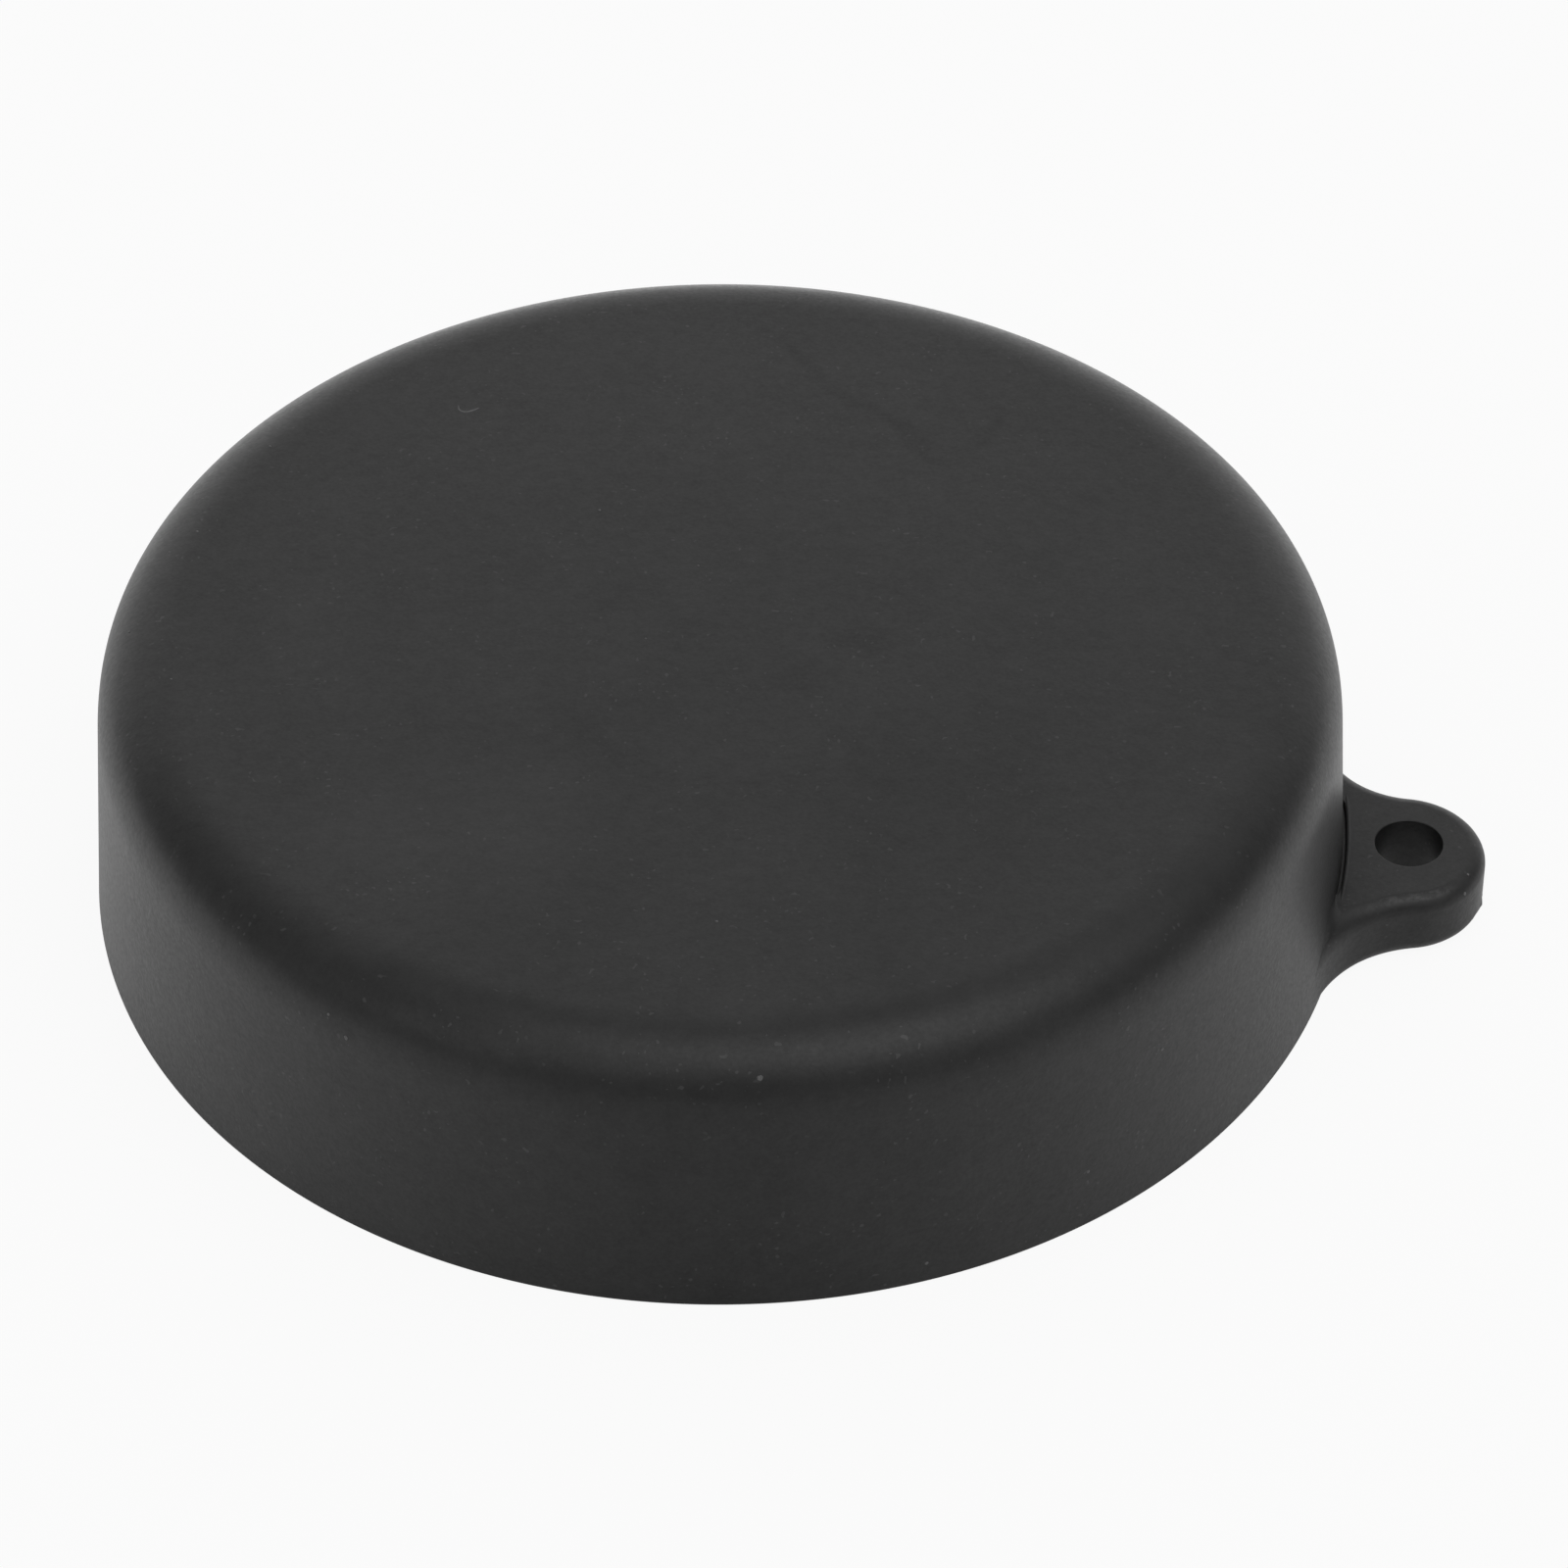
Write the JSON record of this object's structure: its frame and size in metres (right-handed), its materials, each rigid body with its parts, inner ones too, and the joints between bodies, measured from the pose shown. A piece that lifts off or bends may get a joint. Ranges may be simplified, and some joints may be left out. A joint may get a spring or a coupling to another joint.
{
  "type": "action camera lens cover",
  "caption": "Shallow round slip-on lens cover moulded in black rubber, with a flat closed top, a rounded edge and a side lug for a tether cord.",
  "frame": {"origin": "middle of the open mouth, on the axis of the bore", "axes": "+Z along the bore to the closed top, +X towards the tether lug"},
  "size_m": [0.0444, 0.04, 0.0094],
  "materials": {
    "black_rubber": "matte, fine grain"
  },
  "bodies": {
    "root": {"lens_cover": "black_rubber"}
  },
  "joints": []
}
